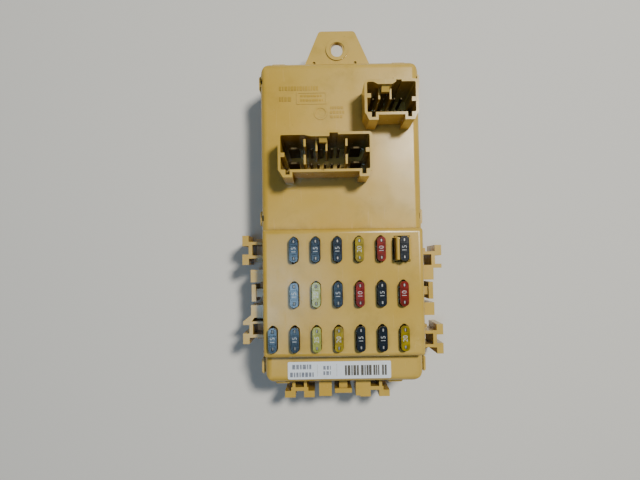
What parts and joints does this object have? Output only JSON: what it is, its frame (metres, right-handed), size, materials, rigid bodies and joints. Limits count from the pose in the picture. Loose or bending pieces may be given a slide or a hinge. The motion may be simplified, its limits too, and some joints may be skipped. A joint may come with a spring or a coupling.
{
  "type": "fuse box panel",
  "caption": "Interior car fuse box panel: clipped two-piece housing with pull-out blade fuses, plug sockets front and rear, guide rails and a slotted mounting tab.",
  "frame": {"origin": "middle of the panel's box, on the surface that it lies on with the fuse face up", "axes": "+X to the right of the fuse face, +Y to the mounting tab, +Z out of the fuse face"},
  "size_m": [0.094, 0.1738, 0.0565],
  "materials": {
    "housing_plastic": "satin moulded, cream beige",
    "holder_plastic": "satin moulded, cream beige",
    "plate_plastic": "matte black insulator",
    "terminal_metal": "stamped",
    "pin_metal": "tin plated",
    "element_metal": "stamped zinc",
    "label_film": "printed film",
    "fuse_blue": "translucent",
    "fuse_red": "translucent",
    "fuse_yellow": "translucent",
    "fuse_clear": "translucent"
  },
  "bodies": {
    "panel": {"front_housing": "housing_plastic", "rear_housing": "housing_plastic", "label": "label_film", "lower_wiring_plate": "plate_plastic", "upper_wiring_plate": "plate_plastic", "busbar_battery": "terminal_metal", "busbar_ignition": "terminal_metal", "busbar_accessory": "terminal_metal", "supply_comb_row_1": "terminal_metal", "supply_comb_row_2": "terminal_metal", "supply_comb_row_3": "terminal_metal", "load_terminals_row_1": "terminal_metal", "load_terminals_row_2": "terminal_metal", "load_terminals_row_3": "terminal_metal", "pins_large_socket": "pin_metal", "pins_small_socket": "pin_metal", "pins_rear_socket_a": "pin_metal", "pins_rear_socket_b": "pin_metal", "pins_rear_socket_c": "pin_metal"},
    "backup_holder": {"backup_fuse_holder": "holder_plastic"},
    "fuse_01": {"fuse_body_01": "fuse_blue", "fuse_element_01": "element_metal"},
    "fuse_02": {"fuse_body_02": "fuse_blue", "fuse_element_02": "element_metal"},
    "fuse_03": {"fuse_body_03": "fuse_blue", "fuse_element_03": "element_metal"},
    "fuse_04": {"fuse_body_04": "fuse_yellow", "fuse_element_04": "element_metal"},
    "fuse_05": {"fuse_body_05": "fuse_red", "fuse_element_05": "element_metal"},
    "fuse_06": {"fuse_body_06": "fuse_blue", "fuse_element_06": "element_metal"},
    "fuse_07": {"fuse_body_07": "fuse_blue", "fuse_element_07": "element_metal"},
    "fuse_08": {"fuse_body_08": "fuse_clear", "fuse_element_08": "element_metal"},
    "fuse_09": {"fuse_body_09": "fuse_blue", "fuse_element_09": "element_metal"},
    "fuse_10": {"fuse_body_10": "fuse_red", "fuse_element_10": "element_metal"},
    "fuse_11": {"fuse_body_11": "fuse_blue", "fuse_element_11": "element_metal"},
    "fuse_12": {"fuse_body_12": "fuse_red", "fuse_element_12": "element_metal"},
    "fuse_13": {"fuse_body_13": "fuse_blue", "fuse_element_13": "element_metal"},
    "fuse_14": {"fuse_body_14": "fuse_blue", "fuse_element_14": "element_metal"},
    "fuse_15": {"fuse_body_15": "fuse_clear", "fuse_element_15": "element_metal"},
    "fuse_16": {"fuse_body_16": "fuse_yellow", "fuse_element_16": "element_metal"},
    "fuse_17": {"fuse_body_17": "fuse_blue", "fuse_element_17": "element_metal"},
    "fuse_18": {"fuse_body_18": "fuse_blue", "fuse_element_18": "element_metal"},
    "fuse_19": {"fuse_body_19": "fuse_yellow", "fuse_element_19": "element_metal"}
  },
  "joints": [
    {"name": "backup_holder_pull", "type": "slide", "parent": "panel", "child": "backup_holder", "axis": [0, 0, 1], "range_m": [0, 0.006]},
    {"name": "fuse_01_pull", "type": "slide", "parent": "panel", "child": "fuse_01", "axis": [0, 0, 1], "range_m": [0, 0.025]},
    {"name": "fuse_02_pull", "type": "slide", "parent": "panel", "child": "fuse_02", "axis": [0, 0, 1], "range_m": [0, 0.025]},
    {"name": "fuse_03_pull", "type": "slide", "parent": "panel", "child": "fuse_03", "axis": [0, 0, 1], "range_m": [0, 0.025]},
    {"name": "fuse_04_pull", "type": "slide", "parent": "panel", "child": "fuse_04", "axis": [0, 0, 1], "range_m": [0, 0.025]},
    {"name": "fuse_05_pull", "type": "slide", "parent": "panel", "child": "fuse_05", "axis": [0, 0, 1], "range_m": [0, 0.025]},
    {"name": "fuse_06_pull", "type": "slide", "parent": "backup_holder", "child": "fuse_06", "axis": [0, 0, 1], "range_m": [0, 0.025]},
    {"name": "fuse_07_pull", "type": "slide", "parent": "panel", "child": "fuse_07", "axis": [0, 0, 1], "range_m": [0, 0.025]},
    {"name": "fuse_08_pull", "type": "slide", "parent": "panel", "child": "fuse_08", "axis": [0, 0, 1], "range_m": [0, 0.025]},
    {"name": "fuse_09_pull", "type": "slide", "parent": "panel", "child": "fuse_09", "axis": [0, 0, 1], "range_m": [0, 0.025]},
    {"name": "fuse_10_pull", "type": "slide", "parent": "panel", "child": "fuse_10", "axis": [0, 0, 1], "range_m": [0, 0.025]},
    {"name": "fuse_11_pull", "type": "slide", "parent": "panel", "child": "fuse_11", "axis": [0, 0, 1], "range_m": [0, 0.025]},
    {"name": "fuse_12_pull", "type": "slide", "parent": "panel", "child": "fuse_12", "axis": [0, 0, 1], "range_m": [0, 0.025]},
    {"name": "fuse_13_pull", "type": "slide", "parent": "panel", "child": "fuse_13", "axis": [0, 0, 1], "range_m": [0, 0.025]},
    {"name": "fuse_14_pull", "type": "slide", "parent": "panel", "child": "fuse_14", "axis": [0, 0, 1], "range_m": [0, 0.025]},
    {"name": "fuse_15_pull", "type": "slide", "parent": "panel", "child": "fuse_15", "axis": [0, 0, 1], "range_m": [0, 0.025]},
    {"name": "fuse_16_pull", "type": "slide", "parent": "panel", "child": "fuse_16", "axis": [0, 0, 1], "range_m": [0, 0.025]},
    {"name": "fuse_17_pull", "type": "slide", "parent": "panel", "child": "fuse_17", "axis": [0, 0, 1], "range_m": [0, 0.025]},
    {"name": "fuse_18_pull", "type": "slide", "parent": "panel", "child": "fuse_18", "axis": [0, 0, 1], "range_m": [0, 0.025]},
    {"name": "fuse_19_pull", "type": "slide", "parent": "panel", "child": "fuse_19", "axis": [0, 0, 1], "range_m": [0, 0.025]}
  ]
}
